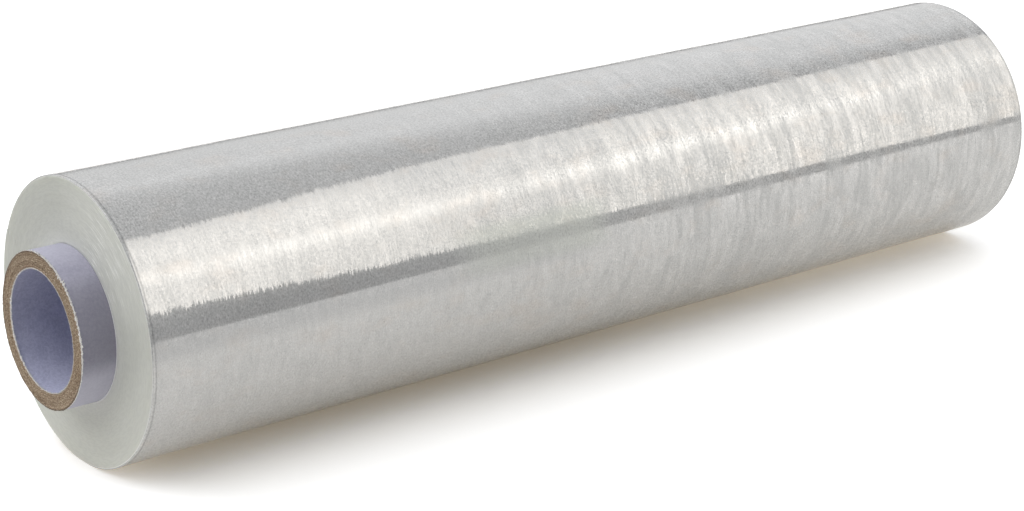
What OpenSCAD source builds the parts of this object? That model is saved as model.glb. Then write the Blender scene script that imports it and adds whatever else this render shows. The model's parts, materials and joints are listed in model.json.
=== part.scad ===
// Hand roll of clear stretch wrap, lying on its side.
// Thin film is wound tightly on a spiral-wound paper tube that sticks out at both ends.
// The roll's axis runs along X, the floor is z = 0 and the origin is midway along the roll.

/* [Film] */
// Width of the wound film, along the roll
film_w = 500; // [250:10:700]
// Diameter over the outermost turn
film_d = 119; // [96:1:160]
// Radius that the film's corners are rounded to
film_edge_r = 0.6; // [0.3:0.1:3]
// Number of soft gauge bands along the roll, where the film is a little thinner
band_count = 6; // [2:1:10]
// Depth of the deepest gauge band
band_depth = 0.15; // [0.05:0.01:0.3]
// Number of winding ridges that show on each end of the film
ridge_count = 8; // [3:1:12]
// Depth of the deepest groove between two winding ridges
ridge_depth = 0.2; // [0.05:0.05:0.8]

/* [Free end of the film] */
// Height of the step where the outermost turn ends
tail_step = 0.3; // [0.1:0.05:0.6]
// How far above the roll's axis the free end lies, on the back, in degrees
tail_angle = 25; // [0:5:60]

/* [Rest] */
// Width of the small flat that the roll's own weight presses into the film
flat_w = 14; // [8:1:20]

/* [Core] */
// Bore of the paper tube, which takes the spindle
core_id = 50; // [38:1:60]
// Thickness of the brown board
board_t = 6.2; // [3:0.1:8]
// Thickness of the white paper inside and outside the board
paper_t = 0.4; // [0.2:0.05:0.6]
// How far the tube sticks out of the film at each end
core_reach = 15; // [5:1:50]
// Number of glued plies that the board is wound from
ply_count = 8; // [4:1:12]
// How far back the cut edge of the shortest ply lies
ply_depth = 0.25; // [0.05:0.05:0.6]

/* [Hidden] */
$fn = 96;

film_r = film_d / 2;
film_half = film_w / 2;
core_half = film_half + core_reach;
bore_r = core_id / 2;
board_in_r = bore_r + paper_t;
board_out_r = board_in_r + board_t;
core_r = board_out_r + paper_t;

// The axis stands this high, so that the floor cuts a flat of flat_w out of the film
axis_h = sqrt(pow(film_r, 2) - pow(flat_w / 2, 2));

// The outer turns carry the corners and the bands. They are joined to the inner turns where
// both ends are flat, with a lap that leaves room for the step of the free end.
lap_room = 0.5;
lap = tail_step + lap_room;
turns_r = film_r - film_edge_r - lap;
rim_in_r = turns_r - lap;
ridges_r = rim_in_r - lap;
corner_steps = 5;
stations_per_band = 4;

// An angle that spreads a repeated wave unevenly, so that no two ridges or plies match
spread = 137.5;

// Depth below the full radius at a share u of the way along the film, zero at both ends
function band_drop(u) =
    band_depth * (1 - cos(360 * band_count * u)) / 2 * (0.6 + 0.4 * cos(spread * 4 * u));

// Depth of groove number i between the winding ridges
function groove_drop(i) = ridge_depth * (0.4 + 0.6 * abs(sin(spread * i)));

// How far back the cut edge of ply number i lies
function ply_drop(i) = ply_depth * abs(sin(spread * (i + 1)));

// Points of a side profile and its mirror image, joined into one closed outline
function mirrored(points) =
    concat(points, [for (i = [len(points) - 1 : -1 : 0]) [points[i][0], -points[i][1]]]);

// Lays a solid of revolution down along X at the height of the roll's axis.
// Its angle 0 then points down, 90 to the back and 180 up.
module lay_down() {
    translate([0, 0, axis_h])
        rotate([0, 90, 0])
            children();
}

// A tube of the core's full length between two radii
module core_tube(r_in, r_out) {
    rotate_extrude()
        translate([r_in, -core_half])
            square([r_out - r_in, 2 * core_half]);
}

// Inner turns, whose ends show the winding ridges
module inner_turns() {
    pitch = (ridges_r - core_r) / ridge_count;
    ridged_end = [
        for (i = [0 : ridge_count - 1], groove = [0, 1])
            let (r = core_r + (i + groove / 2) * pitch)
                [r, film_half - groove * groove_drop(i)]
    ];
    rotate_extrude()
        polygon(mirrored(concat(ridged_end, [[ridges_r, film_half], [turns_r, film_half]])));
}

// Profile of the outer turns, with a rounded corner at each end and the bands between
module outer_profile(r_out) {
    corner_r = r_out - film_edge_r;
    corner_x = film_half - film_edge_r;
    far_corner = [
        for (k = [0 : corner_steps])
            let (a = 90 - 90 * k / corner_steps)
                [corner_r + film_edge_r * cos(a), corner_x + film_edge_r * sin(a)]
    ];
    near_corner = [
        for (k = [corner_steps : -1 : 0]) [far_corner[k][0], -far_corner[k][1]]
    ];
    stations = band_count * stations_per_band;
    bands = [
        for (k = [1 : stations - 1])
            let (u = k / stations)
                [r_out - band_drop(u), corner_x * (1 - 2 * u)]
    ];
    polygon(concat([[rim_in_r, film_half]], far_corner, bands, near_corner,
                   [[rim_in_r, -film_half]]));
}

// The outermost turn grows by tail_step in one turn, as a spiral of two half circles.
// The half over the top has its own centre, so that it meets the lower half flush at the
// front and lies tail_step below it at the back, where the film ends.
module outer_turns() {
    tail_at = 90 + tail_angle;
    rotate(tail_at - 180)
        rotate_extrude(angle = 180)
            outer_profile(film_r);
    rotate(tail_at)
        translate([-tail_step / 2, 0])
            rotate_extrude(angle = 180)
                outer_profile(film_r - tail_step / 2);
}

module film_roll() {
    color([0.82, 0.84, 0.83])
        difference() {
            lay_down() {
                inner_turns();
                outer_turns();
            }
            translate([-film_w, -film_d, -film_d])
                cube([2 * film_w, 2 * film_d, film_d]);
        }
}

// Brown board, whose cut ends show the edges of its plies
module core_board() {
    ply_t = board_t / ply_count;
    cut_end = [
        for (i = [0 : ply_count - 1], side = [0, 1])
            [board_in_r + (i + side) * ply_t, core_half - ply_drop(i)]
    ];
    color([0.62, 0.50, 0.38])
        lay_down()
            rotate_extrude()
                polygon(mirrored(cut_end));
}

// White paper that lines the bore
module core_liner() {
    color([0.78, 0.78, 0.88])
        lay_down()
            core_tube(bore_r, board_in_r);
}

// White paper around the board, on which the film is wound
module core_wrap() {
    color([0.86, 0.86, 0.93])
        lay_down()
            core_tube(board_out_r, core_r);
}

film_roll();
core_board();
core_liner();
core_wrap();
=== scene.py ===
"""Looks of a hand roll of clear stretch wrap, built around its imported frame.

Units are metres. The roll's axis runs along X, the floor is z = 0 and the near end is at -X.
Angles round the roll are measured from straight down, growing towards the back (+Y).
"""

import json
import math
import random

import bmesh
import bpy
import numpy as np
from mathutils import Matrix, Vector


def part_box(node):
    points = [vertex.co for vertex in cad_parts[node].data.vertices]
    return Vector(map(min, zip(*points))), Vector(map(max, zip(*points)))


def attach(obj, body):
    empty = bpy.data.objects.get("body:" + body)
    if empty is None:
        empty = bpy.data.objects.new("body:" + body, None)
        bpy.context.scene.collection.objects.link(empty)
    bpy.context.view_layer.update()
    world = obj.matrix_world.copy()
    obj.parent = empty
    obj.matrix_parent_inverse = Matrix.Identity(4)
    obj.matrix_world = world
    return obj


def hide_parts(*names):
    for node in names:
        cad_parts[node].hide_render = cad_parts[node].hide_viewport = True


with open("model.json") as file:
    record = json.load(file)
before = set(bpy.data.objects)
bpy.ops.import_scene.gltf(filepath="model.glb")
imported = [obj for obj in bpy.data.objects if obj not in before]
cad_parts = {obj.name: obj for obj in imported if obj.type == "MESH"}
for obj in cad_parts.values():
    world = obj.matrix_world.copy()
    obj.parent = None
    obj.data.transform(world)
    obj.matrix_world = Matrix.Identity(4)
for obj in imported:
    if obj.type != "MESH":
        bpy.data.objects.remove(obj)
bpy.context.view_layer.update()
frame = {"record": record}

MM = 0.001

# Sizes of the roll, as in the part's source
bore = next(m for m in frame["record"]["mounts"] if m["name"] == "core_bore")
AXIS_H = bore["pos_m"][2]
BORE_R = bore["dims"]["r_mm"] * MM
PAPER_T = 0.4 * MM
BOARD_T = 6.2 * MM
BOARD_IN_R = BORE_R + PAPER_T
BOARD_OUT_R = BOARD_IN_R + BOARD_T
CORE_R = BOARD_OUT_R + PAPER_T
FILM_R = 59.5 * MM
FILM_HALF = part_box("film_roll")[1].x
CORE_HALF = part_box("core_wrap")[1].x
GAUGE_BANDS = 6
WINDING_RIDGES = 8
PLIES = 8
PLY_DEPTH = 0.25 * MM

# An angle in degrees that spreads a repeated wave unevenly, so that no two plies match
PLY_SPREAD = 137.5

# Free end of the film: its place round the roll in degrees, the height of its step, the most
# that its line wavers, and how close its two sides are where they become one
TAIL_ANGLE = 90 + 25
TAIL_STEP = 0.3 * MM
TAIL_WAVER = 2.64 * MM
SEAM_GAP = 0.003 * MM

# Soft relief of the film, and how far its wrinkles and waver reach from the free end, in radians
BAND_DEPTH = 0.084 * MM
LUMP_HEIGHT = 0.08 * MM
RIDGE_DEPTH = 0.05 * MM
RIDGE_GRAIN = 0.01 * MM
WRINKLE_HEIGHT = 0.12 * MM
WRINKLE_REACH = 0.16
WAVER_REACH = 0.25

# Patches of the film at the front, as places round the roll in degrees
HAZE_ANGLE = -102
# Where a painted shade darkens the dark strip that the film mirrors
PAINTED_STRIP_SHADE_ANGLE = -98
RUBBED_ANGLE = -117
WORN_ANGLE = -135.5
CALM_ANGLE = -122
SMOOTH_LOW_ANGLE = -94
SMOOTH_HIGH_ANGLE = -125

# Where the tube's cut ends are rough, as places round the roll in degrees
BURR_ANGLE = 186
CRACK_ANGLE = 12
WRAP_TEAR_ANGLE = -128
LINER_TEAR_ANGLE = 60

# How rough the board's cut ends are: the depth of the blade's marks, the most that the burr
# stands out at the top and elsewhere, and the depth of the crack
BLADE_MARKS = 0.14 * MM
TOP_BURR = 0.9 * MM
BURR = 0.5 * MM
CRACK_DEPTH = 6.0 * MM

# Spacing of the fine and coarse jags of a cut edge, and about how far it is round that edge
FINE_JAG = 0.5 * MM
COARSE_JAG = 5 * MM
EDGE_GIRTH = 200 * MM

# Torn paper: how far it is pushed over where it is fuzziest, how many fibres each end has there,
# and the rings of faces that make its lips
FULL_TEAR = 0.6 * MM
FIBRES = 900
TORN_RINGS = (2, 3, 4, 6, 7, 8)

# Meshes
FILM_COLUMNS = 200
FILM_STATIONS = 330
END_RINGS = 44
CORNER_R = 0.5 * MM
CORNER_STEPS = 4
TUBE_COLUMNS = 480
RIM_COLUMNS = 900

# Camera, from the outlines in the photograph, whose frame is 1024 pixels wide. Its angles are in
# degrees, and the azimuth of its view is measured from the back (+Y) towards +X.
CAMERA_AZIMUTH = 38.86
CAMERA_ELEVATION = 18.35
CAMERA_DISTANCE = 1.083
CAMERA_TARGET = Vector((-0.0224, 0.0088, 0.0374))
CAMERA_FOCAL_PIXELS = 2376.8
PHOTO_WIDTH_PIXELS = 1024
SENSOR_WIDTH_MM = 36


# Meshes of revolution

def waves(seed, count, x_length, turns, size):
    """Random smooth waves over the roll, as (x frequency, turns, phase, size) each."""
    draw = random.Random(seed)
    return [
        (
            2 * math.pi / (x_length * draw.uniform(0.6, 1.6)),
            draw.randint(-turns, turns),
            draw.uniform(0, 2 * math.pi),
            size * draw.uniform(0.4, 1.0) / count,
        )
        for _ in range(count)
    ]


def wave_sum(table, x, angle):
    """Sum of the waves at x along the roll and an angle round it."""
    total = np.zeros(np.broadcast(x, angle).shape)
    for frequency, turns, phase, size in table:
        total += size * np.sin(frequency * x + turns * angle + phase)
    return total


def ring_points(x, radius, angle):
    """Points on rings round the roll's axis, as an array of rows."""
    x, radius, angle = np.broadcast_arrays(x, radius, angle)
    return np.stack(
        [x, radius * np.sin(angle), AXIS_H - radius * np.cos(angle)], axis=-1
    )


def lathe_faces(rings, columns):
    """Quads between successive rings of a lathed mesh, which closes on itself both ways."""
    faces = []
    for ring in range(rings):
        here = ring * columns
        there = ((ring + 1) % rings) * columns
        for column in range(columns):
            after = (column + 1) % columns
            faces.append((here + column, there + column, there + after, here + after))
    return faces


def new_piece(name, points, faces, node, material):
    """A smooth mesh piece that replaces a node of the frame and rides on the root body."""
    mesh = bpy.data.meshes.new(name)
    mesh.from_pydata([tuple(p) for p in points], [], faces)
    mesh.update()
    mesh.polygons.foreach_set("use_smooth", [True] * len(mesh.polygons))
    piece = bpy.data.objects.new(name, mesh)
    bpy.context.scene.collection.objects.link(piece)
    mesh.materials.append(material)
    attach(piece, "root")
    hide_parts(node)
    return piece


# Node trees

class NodeTree:
    """Adds nodes to the node tree of a material or a world, and links them.

    A value is a number or colour, or the socket that it comes from.
    """

    def __init__(self, owner):
        owner.use_nodes = True
        self.owner = owner
        self.tree = owner.node_tree
        self.tree.nodes.clear()

    def add(self, kind, inputs=None, **settings):
        """A node of this kind, with its settings and the values of its inputs."""
        node = self.tree.nodes.new("ShaderNode" + kind)
        for name, value in settings.items():
            setattr(node, name, value)
        for name, value in (inputs or {}).items():
            self.put(node.inputs[name], value)
        return node

    def put(self, socket, value):
        """Gives an input its value."""
        if isinstance(value, bpy.types.NodeSocket):
            self.tree.links.new(value, socket)
        else:
            socket.default_value = value

    def finish(self, shader, output="OutputMaterial"):
        """Ends the tree with a shader, and returns the material or world."""
        self.add(output, {"Surface": shader.outputs[0]})
        return self.owner

    def math(self, operation, first, second=0.0, third=0.0, clamp=False):
        """One step of arithmetic."""
        node = self.add("Math", {0: first, 1: second, 2: third}, operation=operation)
        node.use_clamp = clamp
        return node.outputs[0]

    def total(self, first, *others):
        """The sum of values."""
        for value in others:
            first = self.math("ADD", first, value)
        return first

    def product(self, first, *others):
        """The product of values."""
        for value in others:
            first = self.math("MULTIPLY", first, value)
        return first

    def weighted(self, *pairs):
        """The sum of values that each come with a weight."""
        return self.total(*(self.product(value, weight) for value, weight in pairs))

    def line(self, value, slope, start):
        """The start, plus the slope times the value."""
        return self.math("MULTIPLY_ADD", value, slope, start)

    def centred(self, value, size):
        """Noise round 0.5, moved to lie round 0 and scaled."""
        return self.product(self.math("SUBTRACT", value, 0.5), size)

    def spread(self, value, low, high, to_low=0.0, to_high=1.0):
        """The value from low to high, spread smoothly over to_low to to_high."""
        inputs = {
            "Value": value,
            "From Min": low,
            "From Max": high,
            "To Min": to_low,
            "To Max": to_high,
        }
        node = self.add("MapRange", inputs, interpolation_type="SMOOTHSTEP")
        return node.outputs["Result"]

    def window(self, value, start, full, fade, end):
        """1 where the value is between full and fade, falling to 0 at start and end."""
        return self.product(self.spread(value, start, full), self.spread(value, fade, end, 1.0, 0.0))

    def bell(self, value, centre, sharpness):
        """A soft bump of height 1 round the centre."""
        away = self.math("SUBTRACT", value, centre)
        return self.math("EXPONENT", self.product(away, away, -sharpness))

    def blend(self, factor, first, second):
        """Mixes two colours."""
        node = self.add("Mix", data_type="RGBA")
        self.put(node.inputs[0], factor)
        self.put(node.inputs[6], first)
        self.put(node.inputs[7], second)
        return node.outputs[2]

    def noise(self, vector, scale=1.0, detail=2.0, roughness=0.5, distortion=0.0):
        """Fractal noise round 0.5."""
        inputs = {
            "Vector": vector,
            "Scale": scale,
            "Detail": detail,
            "Roughness": roughness,
            "Distortion": distortion,
        }
        return self.add("TexNoise", inputs).outputs[0]


class RollNodeTree(NodeTree):
    """Node tree of a new material that knows the place along, round and from the roll's axis."""

    def __init__(self, name):
        super().__init__(bpy.data.materials.new(name))
        self.place = self.add("TexCoord").outputs["Object"]
        parts = self.add("SeparateXYZ", {0: self.place})
        across = parts.outputs["Y"]
        above = self.math("SUBTRACT", parts.outputs["Z"], AXIS_H)
        squares = self.total(self.product(across, across), self.product(above, above))
        self.x = parts.outputs["X"]
        self.radius = self.math("SQRT", squares)
        self.backward = self.math("DIVIDE", across, self.radius)
        self.upward = self.math("DIVIDE", above, self.radius)

    def near(self, angle, inner, outer):
        """1 within inner degrees of a place round the roll, falling to 0 at outer degrees."""
        facing = self.total(
            self.product(self.backward, math.sin(math.radians(angle))),
            self.product(self.upward, -math.cos(math.radians(angle))),
        )
        return self.spread(facing, math.cos(math.radians(outer)), math.cos(math.radians(inner)))

    def roll_noise(self, along, by_along, by_turning, **settings):
        """Noise that changes by_along times per metre of along and by_turning times per radian."""
        return self.noise(self.stretched(along, by_along, by_turning), **settings)

    def stretched(self, along, by_along, by_turning):
        """A texture vector with its own scales along a line and round the roll."""
        parts = {
            "X": self.product(along, by_along),
            "Y": self.product(self.backward, by_turning),
            "Z": self.product(self.upward, by_turning),
        }
        return self.add("CombineXYZ", parts).outputs[0]

    def tilted_normal(self, along, round_axis):
        """The surface normal, tilted a little along the roll and round it."""
        parts = {
            "X": along,
            "Y": self.product(self.upward, round_axis),
            "Z": self.product(self.backward, round_axis, -1.0),
        }
        tilt = self.add("CombineXYZ", parts).outputs[0]
        normal = self.add("NewGeometry").outputs["Normal"]
        tilted = self.add("VectorMath", {0: normal, 1: tilt}, operation="ADD").outputs[0]
        return self.add("VectorMath", {0: tilted}, operation="NORMALIZE").outputs[0]


def colour(red, green, blue):
    """A colour given as it looks, from 0 to 255, as linear values for a shader."""
    linear = [
        c / 255 / 12.92 if c / 255 <= 0.04045 else ((c / 255 + 0.055) / 1.055) ** 2.4
        for c in (red, green, blue)
    ]
    return (*linear, 1.0)


# Materials

def film_side_material():
    """Stacked clear film seen from the side: milky, with the silvery gloss of many thin layers.

    Metallic is the share of the light that the layers mirror, and the rest comes back milky.
    """
    tree = RollNodeTree("film_side")

    # How crumpled and cloudy the film is, which grows along the roll
    crumpled = tree.spread(tree.x, -0.12, 0.06, 0.15, 1.0)

    grain = tree.roll_noise(tree.x, 1500, 62, detail=1.0, roughness=0.7)
    mottle = tree.roll_noise(tree.x, 1350, 70, detail=1.0, roughness=0.7)
    strands = tree.roll_noise(tree.x, 1800, 11, detail=2.0, roughness=0.7)
    streaks = tree.roll_noise(tree.x, 260, 4, detail=3.0, roughness=0.65)
    clouds = tree.roll_noise(tree.x, 75, 1.3, detail=2.0, roughness=0.55, distortion=0.6)
    crackle = tree.roll_noise(tree.x, 420, 17, detail=2.0, roughness=0.65, distortion=1.5)
    creases = tree.roll_noise(tree.x, 520, 12, detail=1.0, roughness=0.6, distortion=2.5)
    folds = tree.roll_noise(tree.x, 330, 1.6, detail=1.0, roughness=0.6, distortion=0.4)

    # Patches of the near half
    hazy = tree.product(tree.near(HAZE_ANGLE, 5, 12), tree.window(tree.x, -0.115, -0.085, -0.036, -0.018))
    rubbed = tree.product(tree.near(RUBBED_ANGLE, 5, 13), tree.window(tree.x, -0.12, -0.09, -0.05, 0.0))
    worn = tree.product(tree.near(WORN_ANGLE, 3.5, 8), tree.window(tree.x, -0.14, -0.11, -0.04, 0.0))
    scratches = tree.product(tree.total(rubbed, worn), tree.spread(strands, 0.48, 0.66))

    # Marks of the crumpled far half
    steps = tree.total(tree.spread(clouds, 0.495, 0.52), tree.spread(clouds, 0.56, 0.60))
    cloudy = tree.product(steps, 0.5, crumpled)
    crisp = tree.product(tree.centred(crackle, 1.0), crumpled)
    folded = tree.product(tree.spread(folds, 0.60, 0.68), crumpled)

    # The grain is calm where the film mirrors the softbox's tube
    calm = tree.line(tree.near(CALM_ANGLE, 2, 5.5), -0.5, 1.0)
    gloss = tree.total(
        tree.centred(grain, tree.product(tree.line(crumpled, 0.65, 0.72), calm)),
        tree.centred(strands, tree.line(crumpled, 0.25, 0.30)),
        tree.centred(streaks, tree.line(crumpled, 0.13, 0.10)),
        tree.weighted(
            (crisp, 0.20),
            (cloudy, -0.11),
            (hazy, -0.22),
            (folded, -0.06),
            (crumpled, 0.03),
            (rubbed, -0.04),
            (worn, -0.06),
            (scratches, -0.22),
        ),
    )
    in_strip = tree.near(HAZE_ANGLE, 3, 8)
    tone = tree.total(
        tree.centred(mottle, tree.line(in_strip, 0.9, 0.9)),
        tree.centred(strands, tree.line(in_strip, 1.2, 1.1)),
        tree.centred(streaks, tree.line(crumpled, 1.6, 0.7)),
        tree.weighted((crisp, 0.5), (cloudy, -0.30), (scratches, -0.7), (folded, -0.45), (hazy, 0.3)),
    )
    tone = tree.math("ADD", tone, 0.5, clamp=True)
    base = tree.blend(tone, colour(203, 204, 204), colour(230, 230, 230))
    warm = tree.roll_noise(tree.x, 50, 5.0, detail=3.0, roughness=0.6)
    base = tree.blend(tree.spread(warm, 0.5, 0.75, 0.0, 0.22), base, colour(222, 208, 196))
    base = tree.blend(tree.product(hazy, 0.5), base, colour(215, 220, 209))

    # A painted shade darkens the film low on the front of its near half, along the dark strip that it
    # mirrors
    clear = tree.product(tree.near(PAINTED_STRIP_SHADE_ANGLE, 3, 10), tree.spread(tree.x, -0.07, 0.0, 0.26, 0.0))
    base = tree.blend(clear, base, colour(150, 153, 158))

    # A few small specks of dirt between the layers
    spots = tree.add("TexVoronoi", {"Vector": tree.stretched(tree.x, 90, 5.4), "Scale": 1.0})
    speck = tree.spread(spots.outputs["Distance"], 0.02, 0.034, 0.7, 0.0)
    base = tree.blend(speck, base, colour(95, 92, 88))

    # A painted reflection: a dark line just behind each rim
    past_line = tree.math("SUBTRACT", tree.math("ABSOLUTE", tree.x), FILM_HALF - 1.3 * MM)
    painted_rim_line = tree.window(past_line, -0.6 * MM, 0.0, 0.1 * MM, 0.6 * MM)
    base = tree.blend(tree.product(painted_rim_line, 0.45), base, colour(120, 122, 124))

    # Strands fray the edges of reflections, apart from two smooth strips
    smooth_high = tree.product(tree.near(SMOOTH_HIGH_ANGLE, 5, 13), 0.75)
    smooth = tree.math("MAXIMUM", tree.near(SMOOTH_LOW_ANGLE, 8, 12), smooth_high)
    frayed = tree.spread(tree.x, -0.2, 0.15, 0.14, 0.05)
    fray = tree.centred(strands, tree.product(frayed, tree.math("SUBTRACT", 1.0, smooth)))
    tilt_along = tree.centred(creases, tree.product(crumpled, 0.04))
    tilt_round = tree.total(tree.product(crisp, 0.03), fray)
    shader = tree.add(
        "BsdfPrincipled",
        {
            "Base Color": base,
            "Metallic": tree.math("ADD", gloss, 0.31, clamp=True),
            "Roughness": tree.total(0.08, tree.weighted((cloudy, 0.10), (hazy, 0.03))),
            "IOR": 1.5,
            "Normal": tree.tilted_normal(tilt_along, tilt_round),
        },
    )
    return tree.finish(shader)


def film_end_material():
    """Edges of the stacked turns: milky and waxy, faintly green, marked with fine rings."""
    tree = RollNodeTree("film_end")
    rings = tree.roll_noise(tree.radius, 900, 2.5, detail=3.0, roughness=0.6)
    broad_rings = tree.roll_noise(tree.radius, 160, 1.2, detail=2.0)
    scuffs = tree.roll_noise(tree.radius, 1500, 16, detail=1.0)
    base = tree.blend(broad_rings, colour(208, 210, 203), colour(220, 222, 215))
    base = tree.blend(tree.spread(scuffs, 0.4, 0.65, 0.0, 0.3), base, colour(190, 192, 186))

    # Painted highlights: a pale line at the outermost layers, and a pale joint with the tube at the front
    painted_rim_line = tree.spread(tree.radius, FILM_R - 1.0 * MM, FILM_R - 0.5 * MM)
    painted_joint_light = tree.spread(tree.radius, CORE_R + 0.3 * MM, CORE_R + 0.8 * MM, 1.0, 0.0)
    painted_joint_light = tree.product(painted_joint_light, tree.near(-75, 35, 70))
    base = tree.blend(tree.math("MAXIMUM", painted_rim_line, painted_joint_light), base, colour(248, 249, 246))

    # Fine pale lines of single turns above the tube at the front, which are the film's own marks and also
    # glow there as painted light
    pale_lines_and_glow = tree.roll_noise(tree.radius, 2600, 5.0, detail=2.0, roughness=0.7)
    pale_lines_and_glow = tree.product(tree.spread(pale_lines_and_glow, 0.54, 0.68, 0.0, 0.5), tree.near(-140, 8, 32))
    base = tree.blend(pale_lines_and_glow, base, colour(250, 251, 248))

    # A painted glow keeps it bright up to the tube, and lights its upper front, the joint and the pale
    # lines
    outer_turns = tree.spread(tree.radius, CORE_R + 4 * MM, CORE_R + 12 * MM)
    painted_glow = tree.total(
        tree.spread(tree.radius, CORE_R, CORE_R + 9 * MM, 0.07, 0.0),
        tree.product(painted_joint_light, 0.06),
        tree.product(tree.near(-145, 10, 52), outer_turns, 0.07),
        tree.product(pale_lines_and_glow, 0.2),
    )
    bump = tree.add("Bump", {"Strength": 0.3, "Distance": 0.05 * MM, "Height": rings})
    shader = tree.add(
        "BsdfPrincipled",
        {
            "Base Color": base,
            "Roughness": tree.spread(scuffs, 0.45, 0.7, 0.5, 0.34),
            "IOR": 1.5,
            "Subsurface Weight": 0.6,
            "Subsurface Scale": 4.0 * MM,
            "Subsurface Radius": (1.0, 1.0, 0.9),
            "Emission Color": colour(250, 250, 246),
            "Emission Strength": painted_glow,
            "Normal": bump.outputs[0],
        },
    )
    return tree.finish(shader)


def board_material():
    """Brown board of recycled fibres, cut across its plies."""
    tree = RollNodeTree("board")
    speckle = tree.noise(tree.place, scale=1900, detail=3.0, roughness=0.75)
    fibres = tree.roll_noise(tree.radius, 2400, 28, detail=2.0, roughness=0.6)
    plies = tree.roll_noise(tree.radius, 1150, 1.5, detail=1.0)
    tone = tree.weighted((speckle, 0.62), (fibres, 0.28), (plies, 0.10))
    ramp = tree.add("ValToRGB", {"Fac": tone})
    stops = ramp.color_ramp.elements
    stops[0].position = 0.39
    stops[0].color = colour(92, 72, 56)
    stops[1].position = 0.61
    stops[1].color = colour(214, 198, 176)
    middle = stops.new(0.5)
    middle.color = colour(160, 138, 114)

    # It is dark at the edge under the paper, and a painted shade darkens the inside of the crack between
    # two plies
    edge = tree.spread(tree.radius, BOARD_OUT_R - 0.35 * MM, BOARD_OUT_R - 0.15 * MM, 0.0, 0.55)
    from_middle = tree.math("ABSOLUTE", tree.x)
    painted_crack_shade = tree.spread(from_middle, CORE_HALF - 2.5 * MM, CORE_HALF - 0.8 * MM, 0.85, 0.0)
    base = tree.blend(tree.math("MAXIMUM", edge, painted_crack_shade), ramp.outputs[0], colour(74, 56, 42))
    bump = tree.add("Bump", {"Strength": 0.8, "Distance": 0.2 * MM, "Height": tone})
    shader = tree.add(
        "BsdfPrincipled",
        {
            "Base Color": base,
            "Roughness": tree.line(speckle, 0.2, 0.75),
            "Normal": bump.outputs[0],
        },
    )
    return tree.finish(shader)


def paper_material(name, pale, deep, painted_shading=0.0):
    """Matt white paper with a blue cast, mottled by its fibres.

    The last argument sets painted shading: darker on the front, and lighter at the top and underneath as
    painted light.
    """
    tree = RollNodeTree(name)
    fibres = tree.noise(tree.place, scale=900, detail=3.0, roughness=0.7, distortion=0.5)
    mottle = tree.noise(tree.place, scale=120, detail=3.0)
    tone = tree.weighted((fibres, 0.7), (mottle, 0.3))
    base = tree.blend(tree.spread(tone, 0.35, 0.65), deep, pale)
    # Painted shading: darker on the front, lighter at the top and underneath
    front = tree.near(-107, 12, 42)
    under = tree.near(-45, 12, 38)
    top = tree.near(-185, 10, 34)
    base = tree.blend(tree.product(front, painted_shading), base, colour(120, 119, 130))
    painted_light_parts = tree.weighted((top, 0.45), (under, 0.8))
    base = tree.blend(tree.product(painted_light_parts, painted_shading), base, colour(232, 232, 245))
    bump = tree.add("Bump", {"Strength": 0.7, "Distance": 0.09 * MM, "Height": fibres})
    shader = tree.add(
        "BsdfPrincipled",
        {
            "Base Color": base,
            "Roughness": tree.line(fibres, 0.15, 0.8),
            "Specular IOR Level": 0.3,
            "Normal": bump.outputs[0],
        },
    )
    return tree.finish(shader)


def torn_paper_material():
    """Bare white fibres where the paper is torn at a cut end."""
    tree = NodeTree(bpy.data.materials.new("torn_paper"))
    fibres = tree.noise(tree.add("TexCoord").outputs["Object"], scale=2500, detail=2.0)
    base = tree.blend(tree.spread(fibres, 0.35, 0.65), colour(222, 219, 216), colour(252, 251, 249))
    return tree.finish(
        tree.add("BsdfPrincipled", {"Base Color": base, "Roughness": 0.9, "Specular IOR Level": 0.2})
    )


# Film

def film_profile():
    """Half outline of the film, from the tube over an end and round its corner.

    It gives three arrays: how far each point lies in from the end, its radius, and its share of
    the side's relief.
    """
    corner_r = FILM_R - CORNER_R
    draw = random.Random(11)
    rows = []
    for ring in range(END_RINGS):
        share = ring / END_RINGS
        depth = RIDGE_DEPTH * (0.5 - 0.5 * math.cos(2 * math.pi * WINDING_RIDGES * share))
        depth += RIDGE_GRAIN * draw.random()
        rows.append((depth, CORE_R + share * (corner_r - CORE_R), share ** 12))
    for step in range(CORNER_STEPS + 1):
        turn = 0.5 * math.pi * step / CORNER_STEPS
        inset = CORNER_R * (1 - math.cos(turn))
        rows.append((inset, corner_r + CORNER_R * math.sin(turn), 1.0))
    return np.array(rows).T


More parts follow.
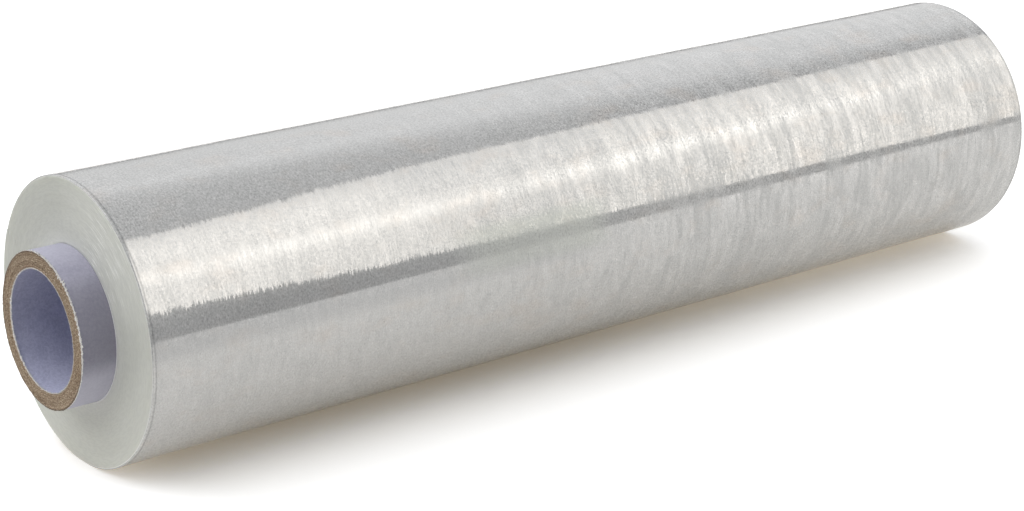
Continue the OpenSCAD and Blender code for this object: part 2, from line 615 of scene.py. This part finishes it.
def build_film():
    """The wound film: a spiral whose outermost layer ends in a step at the back."""
    inset, radius, relief = film_profile()
    side_half = FILM_HALF - CORNER_R
    side_x = np.linspace(-side_half, side_half, FILM_STATIONS + 1)[1:-1]
    profile_x = np.concatenate([-FILM_HALF + inset, side_x, (FILM_HALF - inset)[::-1]])
    profile_r = np.concatenate([radius, np.full(len(side_x), FILM_R), radius[::-1]])
    share = np.concatenate([relief, np.ones(len(side_x)), relief[::-1]])

    rings = len(profile_x)
    columns = FILM_COLUMNS + 1
    x, turn = np.meshgrid(profile_x, np.linspace(0, 2 * math.pi, columns), indexing="ij")
    to_tail = 2 * math.pi - turn

    # The line of the free end wavers, and the mesh on both sides goes with it
    waver = wave_sum(waves(3, 5, 0.09, 0, TAIL_WAVER / FILM_R), x, 0 * turn)
    near_tail = np.exp(-(turn / WAVER_REACH) ** 2) + np.exp(-(to_tail / WAVER_REACH) ** 2)
    angle = math.radians(TAIL_ANGLE) + turn + waver * near_tail

    # The turn after the tail lies a step lower and comes back to the full radius half a turn on
    lowered = np.where(turn < math.pi, TAIL_STEP * (0.5 + 0.5 * np.cos(turn)), 0.0)
    lumps = wave_sum(waves(5, 9, 0.16, 4, LUMP_HEIGHT), x, angle)
    band_phase = 2 * math.pi * GAUGE_BANDS * (x / (2 * FILM_HALF) + 0.5)
    bands = BAND_DEPTH * (0.5 - 0.5 * np.cos(band_phase))
    wrinkles = WRINKLE_HEIGHT * np.exp(-(to_tail / WRINKLE_REACH) ** 2)
    wrinkles = wrinkles * (0.5 + 0.5 * np.sin(wave_sum(waves(7, 6, 0.03, 2, 9.0), x, angle)))
    change = lumps + wrinkles - lowered - bands
    points = ring_points(x, profile_r[:, None] + share[:, None] * change, angle)

    # The floor presses a flat into it
    points[..., 2] = np.maximum(points[..., 2], 0.0)

    faces = lathe_faces(rings, columns)
    piece = new_piece(
        "film", points.reshape(-1, 3), faces, "film_roll", film_side_material()
    )
    piece.data.materials.append(film_end_material())
    for index, face in enumerate(piece.data.polygons):
        ring = index // columns
        if ring < END_RINGS or ring >= rings - 1 - END_RINGS:
            face.material_index = 1

    # The step of the free end fades towards the tube, and its two sides are one from there
    joined = bmesh.new()
    joined.from_mesh(piece.data)
    bmesh.ops.remove_doubles(joined, verts=joined.verts, dist=SEAM_GAP)
    joined.to_mesh(piece.data)
    joined.free()
    return piece


# Tube

def uneven(draw, count, step):
    """Random numbers from 0 to 1 every few places, with straight runs between them."""
    knots = np.arange(0, count + step, step)
    values = draw.uniform(0, 1, len(knots))
    values[-1] = values[0]
    return np.interp(np.arange(count), knots, values)


def jags(seed, count, sharpness=1.5):
    """Uneven numbers from 0 to 1 at this many places round a cut edge."""
    draw = np.random.RandomState(seed)
    fine = uneven(draw, count, max(1, round(count * FINE_JAG / EDGE_GIRTH)))
    coarse = uneven(draw, count, max(1, round(count * COARSE_JAG / EDGE_GIRTH)))
    return fine ** sharpness * (0.25 + coarse) / 1.25


def bump_round(turn, centre, width):
    """A soft bump of height 1 round the roll, its centre in degrees and its width in radians."""
    away = (turn - math.radians(centre) + math.pi) % (2 * math.pi) - math.pi
    return np.exp(-(away / width) ** 2)


def build_board():
    """Brown board tube with cut ends that show its plies."""
    draw = random.Random(21)
    ply_t = BOARD_T / PLIES
    end = []
    for ply in range(PLIES):
        drop = PLY_DEPTH * abs(math.sin(math.radians(PLY_SPREAD * (ply + 1))))
        for share in (0.06, 0.35, 0.65, 0.94):
            end.append((drop + 0.04 * MM * draw.random(), BOARD_IN_R + (ply + share) * ply_t))
    inset, radius = np.array(end).T
    radius[0] = BOARD_IN_R
    radius[-1] = BOARD_OUT_R
    foot = CORE_HALF - 1.2 * MM
    profile_x = np.concatenate([-CORE_HALF + inset, (-foot, foot), (CORE_HALF - inset)[::-1]])
    profile_r = np.concatenate([radius, (BOARD_OUT_R, BOARD_OUT_R), radius[::-1]])
    turn = np.arange(TUBE_COLUMNS) * 2 * math.pi / TUBE_COLUMNS
    x, angle = np.meshgrid(profile_x, turn, indexing="ij")
    r = profile_r[:, None] + 0 * angle
    marks = np.random.RandomState(4).uniform(0, BLADE_MARKS, x.shape)
    x = x - np.sign(x) * marks

    # The blade pushed a burr out over the paper at the board's outer edge, most at the near end
    near_edge = len(end) - 1
    far_edge = near_edge + 3
    burr = jags(42, TUBE_COLUMNS)
    top_burr = TOP_BURR * bump_round(turn, BURR_ANGLE, 0.25) * jags(41, TUBE_COLUMNS)
    r[near_edge] += 0.2 * MM + 0.9 * BURR * burr + top_burr
    r[near_edge - 1] += 0.2 * MM + 0.5 * BURR * burr + 0.8 * top_burr
    r[far_edge] += BURR * jags(43, TUBE_COLUMNS)

    # Its cut opened a crack between the two outermost plies
    crack = bump_round(turn, CRACK_ANGLE, 0.11) * (0.7 + 0.3 * jags(44, TUBE_COLUMNS))
    x[near_edge - 6:near_edge - 2] += CRACK_DEPTH * crack
    points = ring_points(x, r, angle)
    faces = lathe_faces(len(profile_x), TUBE_COLUMNS)
    return new_piece("board", points.reshape(-1, 3), faces, "core_board", board_material())


def fibre(x, radius, angle, length, lean, thickness):
    """Points of a thin closed cone of paper that stands out of a cut edge."""
    along = np.array([1.0, 0.0, 0.0])
    outward = np.array([0.0, math.sin(angle), -math.cos(angle)])
    round_way = np.array([0.0, math.cos(angle), math.sin(angle)])
    foot = np.array([x, radius * math.sin(angle), AXIS_H - radius * math.cos(angle)])
    way = outward * math.cos(lean) + round_way * math.sin(lean)
    side = np.cross(way, along)
    corners = [
        foot + thickness * (side * math.cos(a) + along * math.sin(a))
        for a in (0, 2 * math.pi / 3, 4 * math.pi / 3)
    ]
    return [*corners, foot + way * length]


def loose_fibres(seed, shown, lip, to_board):
    """Fibres that stand over the board from both ends of a paper layer, most where it is torn."""
    draw = random.Random(seed)
    fibres = []
    for sign in (-1, 1):
        for _ in range(FIBRES):
            angle = draw.uniform(0, 2 * math.pi)
            fuzz = float(lip(np.array(angle))) / FULL_TEAR
            if draw.random() > fuzz:
                continue
            length = draw.uniform(0.6, 1.8) * MM * min(fuzz, 1.0)
            lean = draw.uniform(-1.1, 1.1) + (0.0 if to_board < 0 else math.pi)
            edge = sign * (CORE_HALF - draw.uniform(0.1, 0.3) * MM)
            fibres.append(fibre(edge, shown, angle, length, lean, draw.uniform(0.07, 0.18) * MM))
    return fibres


def build_paper(name, node, radii, material, lip, seed):
    """A paper layer of the tube, with torn and fuzzy edges at its cut ends.

    The radii are those of the side that shows and the side on the board. The lip is a function
    that gives how far the torn edge is pushed over the board, at angles round the roll.
    """
    shown, hidden = radii
    turn = np.arange(RIM_COLUMNS) * 2 * math.pi / RIM_COLUMNS
    to_board = 1 if hidden > shown else -1
    torn = lip(turn)

    # Each end runs from the side that shows, out over the lip, to the side on the board
    ends = []
    for end, sign in enumerate((-1, 1)):
        ragged = jags(seed + end, RIM_COLUMNS)
        untorn = FULL_TEAR - np.minimum(torn, FULL_TEAR)
        tip = CORE_HALF - 0.05 * MM - 0.5 * untorn * (1 + ragged)
        over = torn * (0.08 + 2.2 * jags(seed + 10 + end, RIM_COLUMNS, 2.5))
        proud = torn * (0.08 + 3.0 * jags(seed + 20 + end, RIM_COLUMNS, 3.0))
        ends.append([
            (sign * (tip - 1.4 * MM), shown + 0 * turn),
            (sign * (tip - 1.0 * MM), shown + 0 * turn),
            (sign * (tip - 0.3 * MM), shown - to_board * 0.5 * proud),
            (sign * tip, shown - to_board * proud),
            (sign * (tip + 0.04 * MM), shown + to_board * over),
            (sign * (tip - 0.5 * MM), hidden + 0 * turn),
        ])
    profile = np.array(ends[0] + ends[1][::-1])
    x = np.clip(profile[:, 0], -CORE_HALF, CORE_HALF)
    points = ring_points(x, profile[:, 1], turn).reshape(-1, 3)
    faces = lathe_faces(len(profile), RIM_COLUMNS)

    first_fibre_face = len(faces)
    fibres = loose_fibres(seed, shown, lip, to_board)
    start = len(points)
    points = np.concatenate([points] + [np.array(f) for f in fibres])
    for index in range(len(fibres)):
        a, b, c, tip = (start + 4 * index + k for k in range(4))
        faces += [(a, c, b), (a, b, tip), (b, c, tip), (c, a, tip)]
    piece = new_piece(name, points, faces, node, material)
    piece.data.materials.append(torn_paper_material())
    for index, face in enumerate(piece.data.polygons):
        if index // RIM_COLUMNS in TORN_RINGS or index >= first_fibre_face:
            face.material_index = 1
            face.use_smooth = False
    piece.data.set_sharp_from_angle(angle=math.radians(40))
    return piece


def wrap_lip(turn):
    """The outer paper is torn most where the blade came out, at the front."""
    return MM * (0.04 + 1.1 * bump_round(turn, WRAP_TEAR_ANGLE, 0.9))


def liner_lip(turn):
    """The lining paper is torn most at the back, where the blade pushed it out."""
    return MM * (0.14 + 0.66 * bump_round(turn, LINER_TEAR_ANGLE, 1.1))


# Studio

def stage_sheet(name, lower, upper, material, steps=1):
    """A ruled sheet of the studio between two edges, which shows in reflections alone.

    Each edge is a function that gives the point at a share u of the way along it.
    """
    width = steps + 1
    points = []
    for row in range(width):
        for column in range(width):
            u = column / steps
            points.append(Vector(lower(u)).lerp(Vector(upper(u)), row / steps))
    faces = []
    for row in range(steps):
        for corner in range(row * width, row * width + steps):
            faces.append((corner, corner + 1, corner + width + 1, corner + width))
    mesh = bpy.data.meshes.new(name)
    mesh.from_pydata([tuple(p) for p in points], [], faces)
    layer = mesh.uv_layers.new(name="sheet")
    for loop in mesh.loops:
        row, column = divmod(loop.vertex_index, width)
        layer.data[loop.index].uv = (column / steps, row / steps)
    mesh.materials.append(material)
    sheet = bpy.data.objects.new(name, mesh)
    bpy.context.scene.collection.objects.link(sheet)
    sheet.visible_camera = False
    sheet.visible_diffuse = False
    sheet.visible_shadow = False
    sheet.visible_transmission = False


def straight(start, end):
    """An edge that runs straight from start to end."""
    return lambda u: Vector(start).lerp(Vector(end), u)


def glow_material(name, make_strength, tint=(1.0, 1.0, 1.0, 1.0)):
    """Plain light, whose strength may change along the sheet (u) and up it (v)."""
    tree = NodeTree(bpy.data.materials.new(name))
    place = tree.add("SeparateXYZ", {0: tree.add("UVMap", uv_map="sheet").outputs[0]})
    strength = make_strength(tree, place.outputs["X"], place.outputs["Y"])
    return tree.finish(tree.add("Emission", {"Color": tint, "Strength": strength}))


def softbox_strength(tree, u, v):
    """Cloth that is lit evenly, apart from the glow of a tube that runs along behind it."""
    tube_v = tree.total(tree.product(tree.line(u, 1.4, 0.1), u), 0.385)
    tube = tree.bell(v, tube_v, 240)
    along = tree.line(tree.bell(u, 0.225, 90), 0.7, tree.spread(u, 0.3, 0.45, 0.42, 0.2))
    cloth = tree.total(
        tree.spread(v, 0.62, 1.0, 1.66, 1.1),
        tree.spread(u, 0.3, 0.5, 0.0, -0.08),
        tree.product(tree.bell(u, 0.1, 200), 0.2),
    )
    return tree.line(tube, along, cloth)


def back_strength(tree, u, v):
    """Grey cloth that is lighter to the right and falls dark near the floor."""
    return tree.product(tree.spread(u, 0.25, 0.7, 0.42, 0.66), tree.spread(v, 0.06, 0.35, 0.1, 1.0))


def ceiling_strength(tree, u, v):
    """Dark cloth overhead that gets lighter towards the back, and sooner so to the right."""
    return tree.spread(tree.total(u, v), 0.90, 1.38, 0.04, 0.60)


def flag_strength(tree, u, v):
    """Dark cloth with a little light on it at its near end and along its far part."""
    return tree.total(tree.spread(u, 0.195, 0.23, 0.15, 0.03), tree.spread(u, 0.23, 0.33, 0.0, 0.14))


def dim_strength(tree, u, v):
    """Dark cloth, the same all over."""
    return 0.1


def softbox_top(u):
    """Upper edge of the softbox, whose near corner is cut away."""
    x = 0.2 + 2.0 * u
    cut = 0.175 * math.exp(-(max(x - 0.3, 0.0) / 0.17) ** 2)
    return (x, -0.205 + 0.185 * x - cut, 1.14 - 0.28 * u)


def flag_top(u):
    """Upper edge of the flag in front of the softbox, which steps down behind its near end."""
    step = min(max((u - 0.232) / 0.035, 0.0), 1.0)
    return (3.2 * u - 0.6, -0.36 - 1.1 * u, 0.24 - 0.12 * u - 0.04 * step)


def build_studio():
    """White floor, and the cards that the film mirrors: a softbox in front, dark cloths round it."""
    back_top = straight((-0.6, 0.9, 1.25), (2.6, 1.3, 1.25))
    stage_sheet(
        "softbox",
        straight((-0.35, -0.62, 0.10), (2.6, -1.60, 0.05)),
        softbox_top,
        glow_material("softbox_cloth", softbox_strength, (1.0, 0.955, 0.88, 1.0)),
        steps=40,
    )
    stage_sheet(
        "front_flag",
        straight((-0.6, -0.36, 0.0), (2.6, -1.46, 0.03)),
        flag_top,
        glow_material("dark_cloth", flag_strength),
        steps=64,
    )
    stage_sheet(
        "ceiling",
        straight((-0.6, -1.0, 1.25), (2.6, 0.2, 1.25)),
        back_top,
        glow_material("ceiling_cloth", ceiling_strength),
    )
    stage_sheet(
        "back_cloth",
        straight((-0.6, 1.8, -0.1), (3.2, 1.4, -0.1)),
        back_top,
        glow_material("back_cloth", back_strength),
    )
    stage_sheet(
        "camera_side",
        straight((-1.3, 0.5, 0.2), (-0.7, -1.0, 0.2)),
        straight((-1.3, 0.5, 1.4), (-0.7, -1.0, 1.4)),
        glow_material("camera_side_cloth", dim_strength),
    )
    build_floor()


def floor_material():
    """White that keeps the object's shadow, which is warm where it is deepest."""
    tree = NodeTree(bpy.data.materials.new("floor_white"))
    seen = tree.add("LightPath").outputs["Is Camera Ray"]
    unseen = tree.math("SUBTRACT", 1.0, seen)
    along = tree.add("SeparateXYZ", {0: tree.add("TexCoord").outputs["Object"]}).outputs["X"]
    far = tree.spread(along, -0.05, 0.25)
    open_sky = tree.add("AmbientOcclusion", {"Distance": 0.6}, samples=4).outputs["AO"]
    sheltered = tree.spread(open_sky, 0.0, 0.38, 1.0, 0.0)
    base = tree.blend(sheltered, colour(244, 244, 244), colour(240, 227, 205))

    # The floor sends less light back from beyond the near end
    bounce = tree.blend(sheltered, colour(234, 232, 228), colour(226, 212, 190))
    bounce = tree.blend(tree.spread(along, -0.36, -0.29, 0.6, 0.0), bounce, colour(90, 90, 90))
    lit = tree.add("BsdfDiffuse", {"Color": tree.blend(seen, bounce, base)})

    # A warm painted glow lightens the deepest shadow
    deep_glow = tree.line(far, 0.06, tree.spread(along, -0.27, -0.19, 0.18, 0.13))
    painted_glow = tree.add(
        "Emission", {"Color": colour(255, 245, 226), "Strength": tree.product(sheltered, deep_glow)}
    )

    # A painted glow lightens the shadow towards the roll's ends, and other rays see a painted glow on the
    # floor towards the far end and by the near end
    painted_end_glow = tree.total(
        tree.spread(along, -0.27, -0.215, 0.26, 0.0),
        tree.product(far, 0.06),
        tree.spread(along, 0.2, 0.28, 0.0, 0.12),
    )
    painted_bounce_glow = tree.line(far, 0.08, tree.product(tree.bell(along, -0.235, 400), 0.06))
    open_glow = tree.total(
        tree.product(open_sky, seen, 0.44),
        tree.product(painted_end_glow, seen),
        tree.product(painted_bounce_glow, unseen),
    )
    glow = tree.add("Emission", {"Color": (1, 1, 1, 1), "Strength": open_glow})
    both = tree.add("AddShader", {0: lit.outputs[0], 1: glow.outputs[0]})
    return tree.finish(tree.add("AddShader", {0: both.outputs[0], 1: painted_glow.outputs[0]}))


def build_floor():
    """Wide white floor, a hair below the roll."""
    reach = 6.0
    corners = [(-reach, -reach, 0), (reach, -reach, 0), (reach, reach, 0), (-reach, reach, 0)]
    mesh = bpy.data.meshes.new("floor")
    mesh.from_pydata(corners, [], [(0, 1, 2, 3)])
    mesh.materials.append(floor_material())
    floor = bpy.data.objects.new("floor", mesh)
    bpy.context.scene.collection.objects.link(floor)
    floor.location.z = -0.05 * MM


def build_world():
    """Plain room light that is stronger from above, behind a white background."""
    world = bpy.data.worlds.new("studio")
    bpy.context.scene.world = world
    tree = NodeTree(world)
    direction = tree.add("TexCoord").outputs["Generated"]

    def lobe(way, low, high, to_low, to_high):
        """Light from one way, spread by the cosine of the angle to it."""
        towards = tree.add("VectorMath", {0: direction, 1: way}, operation="DOT_PRODUCT")
        return tree.spread(towards.outputs["Value"], low, high, to_low, to_high)

    # Brightest from above and behind, dark on the camera's side, with some light from the right
    # and a lamp above the near end
    room = tree.total(
        tree.product(
            lobe((0.12, 0.45, 0.88), -0.45, 0.9, 0.05, 0.93),
            lobe((-0.3, -0.95, 0.1), 0.3, 0.95, 1.0, 0.1),
        ),
        lobe((1.0, 0.0, 0.0), 0.3, 1.0, 0.0, 0.2),
        lobe((0.808, -0.505, 0.303), 0.3, 1.0, 0.0, 0.42),
        lobe((-0.55, 0.1, 0.83), 0.6, 1.0, 0.0, 1.05),
    )

    # The camera sees white there, in gloss and through clear parts too
    path = tree.add("LightPath")
    seen = tree.math("MAXIMUM", path.outputs["Is Camera Ray"], path.outputs["Is Glossy Ray"])
    seen = tree.math("MAXIMUM", seen, path.outputs["Is Transmission Ray"])
    strength = tree.add("Mix", data_type="FLOAT")
    tree.put(strength.inputs[0], seen)
    tree.put(strength.inputs[2], room)
    tree.put(strength.inputs[3], 1.0)
    light = tree.add("Background", {"Color": (1, 1, 1, 1), "Strength": strength.outputs[0]})
    tree.finish(light, "OutputWorld")


def build_camera():
    """Camera at the photograph's place."""
    data = bpy.data.cameras.new("camera")
    data.sensor_width = SENSOR_WIDTH_MM
    data.lens = CAMERA_FOCAL_PIXELS / PHOTO_WIDTH_PIXELS * SENSOR_WIDTH_MM
    data.clip_start = 0.01
    camera = bpy.data.objects.new("camera", data)
    bpy.context.scene.collection.objects.link(camera)
    azimuth = math.radians(CAMERA_AZIMUTH)
    elevation = math.radians(CAMERA_ELEVATION)
    forward = Vector(
        (
            math.sin(azimuth) * math.cos(elevation),
            math.cos(azimuth) * math.cos(elevation),
            -math.sin(elevation),
        )
    )
    camera.location = CAMERA_TARGET - forward * CAMERA_DISTANCE
    camera.rotation_mode = "QUATERNION"
    camera.rotation_quaternion = forward.to_track_quat("-Z", "Y")
    bpy.context.scene.camera = camera


build_camera()
build_world()
build_studio()
build_film()
build_board()
liner_paper = paper_material("liner_paper", colour(203, 205, 228), colour(178, 181, 207))
wrap_paper = paper_material("wrap_paper", colour(183, 182, 199), colour(167, 166, 185), painted_shading=0.45)
build_paper("liner", "core_liner", (BORE_R, BOARD_IN_R), liner_paper, liner_lip, 31)
build_paper("wrap", "core_wrap", (CORE_R, BOARD_OUT_R), wrap_paper, wrap_lip, 71)

bpy.context.scene.view_settings.view_transform = "Standard"
